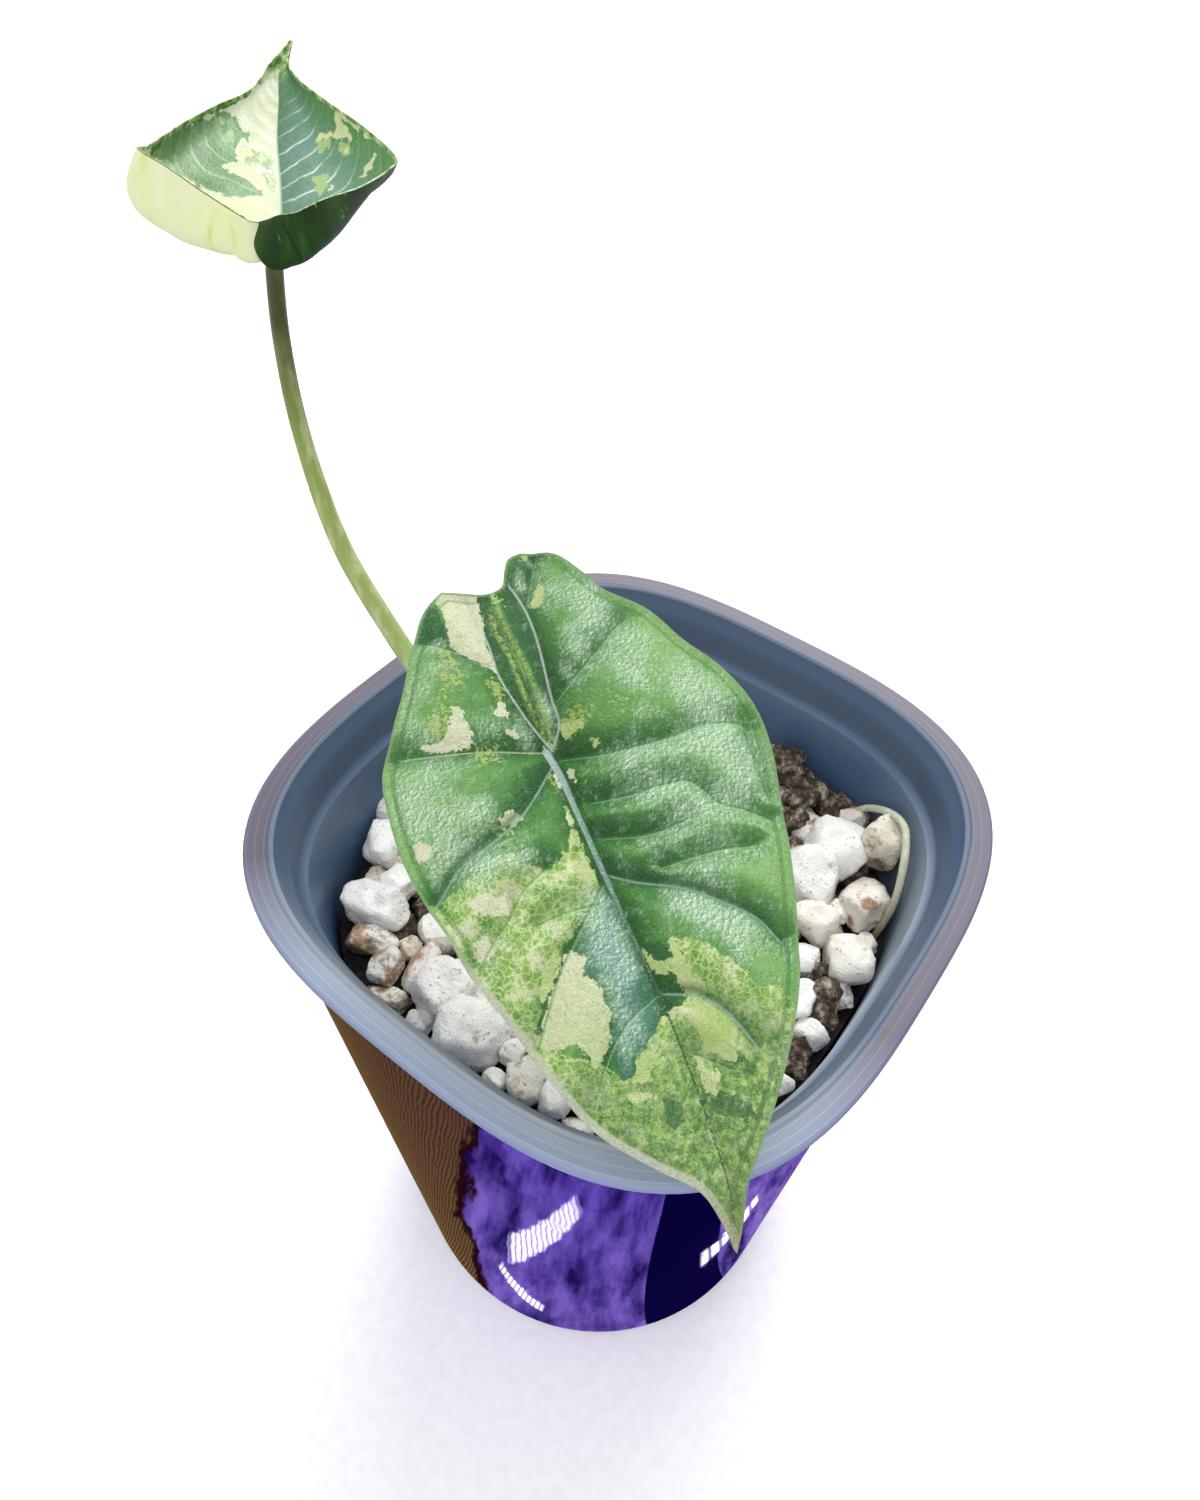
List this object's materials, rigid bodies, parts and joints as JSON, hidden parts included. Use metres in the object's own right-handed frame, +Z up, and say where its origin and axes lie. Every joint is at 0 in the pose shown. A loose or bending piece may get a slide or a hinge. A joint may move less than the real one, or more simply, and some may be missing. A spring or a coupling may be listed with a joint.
{
  "type": "potted variegated bisma platinum alocasia",
  "caption": "Young variegated aroid with one broad and one cupped leaf, in a square stone-filled liner that hangs in a glossy round-footed cover pot.",
  "frame": {"origin": "centre of the cover pot's foot, on the surface that it stands on", "axes": "+Z up; the pot's flat sides face along X and Y, and the front leaf's tip points towards +X and -Y"},
  "size_m": [0.1287, 0.1, 0.211],
  "materials": {
    "cover_pot": "mirror-glossy metallic purple glaze",
    "liner_pot": "milky translucent polypropylene, satin",
    "potting_mix": "pale pumice with brown-stained stones and dark bark",
    "corm": "fibrous brown-green skin",
    "stalk": "smooth pale green, faintly streaked",
    "root": "smooth cream, matt",
    "front_leaf": "green with cream and lime variegation and a pebbled silvery sheen",
    "cupped_leaf": "half cream, half blue-green, with a soft sheen"
  },
  "bodies": {
    "root": {"cover_pot": "cover_pot", "liner_pot": "liner_pot", "potting_mix": "potting_mix", "corm": "corm", "front_stalk": "stalk", "tall_stalk": "stalk", "surface_root": "root", "front_leaf": "front_leaf", "cupped_leaf": "cupped_leaf"}
  },
  "joints": []
}
